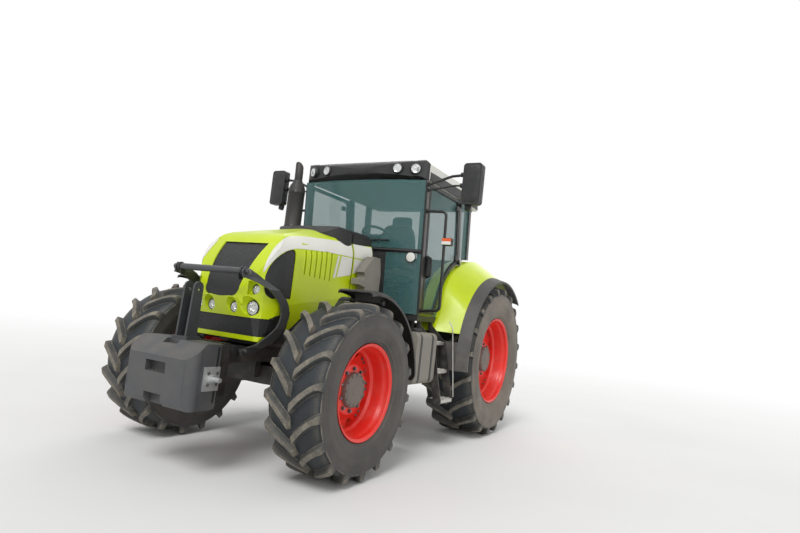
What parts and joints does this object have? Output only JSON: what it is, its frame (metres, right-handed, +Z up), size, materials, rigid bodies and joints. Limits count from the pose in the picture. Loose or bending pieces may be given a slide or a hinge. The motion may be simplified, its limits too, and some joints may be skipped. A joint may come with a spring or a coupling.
{
  "type": "farm tractor",
  "caption": "Farm tractor with a glazed cab, tilting hood, front ballast block, steered front wheels, hinged doors and a rear lift linkage.",
  "frame": {"origin": "on the ground, midway between the ballast's front face and the balls of the lower links, on the tractor's centre plane", "axes": "+X forward along the tractor, +Y to its left, +Z up"},
  "size_m": [4.9319, 2.76, 2.9838],
  "materials": {
    "green_paint": "lime green composite, gloss",
    "frame_paint": "dark grey painted casting",
    "dark_paint": "dark grey paint, satin",
    "cast_grey": "grey painted cast iron",
    "dark_plastic": "dark moulded plastic",
    "extension_plastic": "dark grey moulded plastic",
    "tank_plastic": "grey moulded plastic, dusty",
    "white_paint": "off-white moulded roof",
    "red_paint": "red paint",
    "tyre_rubber": "black rubber, dusty",
    "tinted_glass": "lightly tinted safety glass",
    "lamp_glass": "clear lamp glass",
    "seat_cloth": "dark cloth",
    "soft_grip": "black soft grip",
    "bright_steel": "weathered steel"
  },
  "bodies": {
    "chassis": {"front_axle": "frame_paint", "front_frame": "frame_paint", "engine_block": "dark_paint", "cooling_pack": "dark_paint", "transmission": "frame_paint", "rear_axle": "frame_paint", "hood_rear_panel": "green_paint", "scuttle": "dark_plastic", "ballast_carrier": "dark_paint", "ballast": "cast_grey", "ballast_fittings": "cast_grey", "cab_pillars": "dark_paint", "cab_windows": "tinted_glass", "cab_panels": "dark_plastic", "cab_floor": "dark_paint", "door_hinges": "dark_paint", "roof": "white_paint", "visor": "dark_plastic", "cab_lamps": "lamp_glass", "seat": "seat_cloth", "dash": "dark_plastic", "steering_wheel": "soft_grip", "exhaust": "bright_steel", "loader_brackets": "frame_paint", "rear_fenders": "green_paint", "fender_extensions": "extension_plastic", "tanks": "tank_plastic", "steps": "dark_paint", "mirrors": "dark_plastic", "handrails": "dark_paint", "hitch_brackets": "frame_paint", "drawbar": "dark_paint", "power_shaft": "bright_steel"},
    "hood": {"hood": "green_paint", "hood_cap": "dark_plastic", "hood_grilles": "dark_plastic", "headlamps": "lamp_glass"},
    "guard": {"guard": "dark_paint"},
    "lift_arms": {"lift_arms": "frame_paint"},
    "lift_rods": {"lift_rods": "dark_paint"},
    "lower_links": {"lower_links": "frame_paint"},
    "knuckle_left": {"knuckle_left": "frame_paint", "front_fender_left": "extension_plastic"},
    "door_left": {"door_frame_left": "dark_paint", "door_glass_left": "tinted_glass"},
    "front_wheel_left": {"front_tyre_left": "tyre_rubber", "front_rim_left": "red_paint"},
    "rear_wheel_left": {"rear_tyre_left": "tyre_rubber", "rear_rim_left": "red_paint"},
    "knuckle_right": {"knuckle_right": "frame_paint", "front_fender_right": "extension_plastic"},
    "door_right": {"door_frame_right": "dark_paint", "door_glass_right": "tinted_glass"},
    "front_wheel_right": {"front_tyre_right": "tyre_rubber", "front_rim_right": "red_paint"},
    "rear_wheel_right": {"rear_tyre_right": "tyre_rubber", "rear_rim_right": "red_paint"}
  },
  "joints": [
    {"name": "steer_left", "type": "hinge", "parent": "chassis", "child": "knuckle_left", "pos_m": [1.426, 0.8, 0.691], "axis": [0, 0, 1], "range_deg": [-32, 32]},
    {"name": "steer_right", "type": "hinge", "parent": "chassis", "child": "knuckle_right", "pos_m": [1.426, -0.8, 0.691], "axis": [0, 0, 1], "range_deg": [-32, 32]},
    {"name": "spin_front_left", "type": "hinge", "parent": "knuckle_left", "child": "front_wheel_left", "pos_m": [1.426, 0.95, 0.691], "axis": [0, 1, 0], "continuous": true},
    {"name": "spin_front_right", "type": "hinge", "parent": "knuckle_right", "child": "front_wheel_right", "pos_m": [1.426, -0.95, 0.691], "axis": [0, 1, 0], "continuous": true},
    {"name": "spin_rear_left", "type": "hinge", "parent": "chassis", "child": "rear_wheel_left", "pos_m": [-1.394, 0.93, 0.889], "axis": [0, 1, 0], "continuous": true},
    {"name": "spin_rear_right", "type": "hinge", "parent": "chassis", "child": "rear_wheel_right", "pos_m": [-1.394, -0.93, 0.889], "axis": [0, 1, 0], "continuous": true},
    {"name": "door_swing_left", "type": "hinge", "parent": "chassis", "child": "door_left", "pos_m": [-0.863, 0.814, 1.99], "axis": [0.1519, 0, 0.9884], "range_deg": [0, 70]},
    {"name": "door_swing_right", "type": "hinge", "parent": "chassis", "child": "door_right", "pos_m": [-0.863, -0.814, 1.99], "axis": [0.1519, 0, 0.9884], "range_deg": [-70, 0]},
    {"name": "hood_lift", "type": "hinge", "parent": "chassis", "child": "hood", "pos_m": [0.656, 0, 2.06], "axis": [0, -1, 0], "range_deg": [0, 50]},
    {"name": "guard_fold", "type": "hinge", "parent": "chassis", "child": "guard", "pos_m": [1.966, 0, 0.912], "axis": [0, 1, 0], "range_deg": [0, 70]},
    {"name": "lift_arm_raise", "type": "hinge", "parent": "chassis", "child": "lift_arms", "pos_m": [-1.544, 0, 1.19], "axis": [0, 1, 0], "range_deg": [-20, 18]},
    {"name": "lower_link_raise", "type": "hinge", "parent": "chassis", "child": "lower_links", "pos_m": [-1.544, 0, 0.48], "axis": [0, 1, 0], "range_deg": [-21.8, 19.62]},
    {"name": "lift_rod_swing", "type": "hinge", "parent": "lift_arms", "child": "lift_rods", "pos_m": [-1.984, 0, 1.13], "axis": [0, 1, 0], "range_deg": [-22.32, 24.8]}
  ],
  "couplings": [
    {"joint": "steer_right", "follows": "steer_left", "ratio": 1},
    {"joint": "guard_fold", "follows": "hood_lift", "ratio": 1.4},
    {"joint": "lower_link_raise", "follows": "lift_arm_raise", "ratio": 1.09},
    {"joint": "lift_rod_swing", "follows": "lift_arm_raise", "ratio": -1.24}
  ]
}
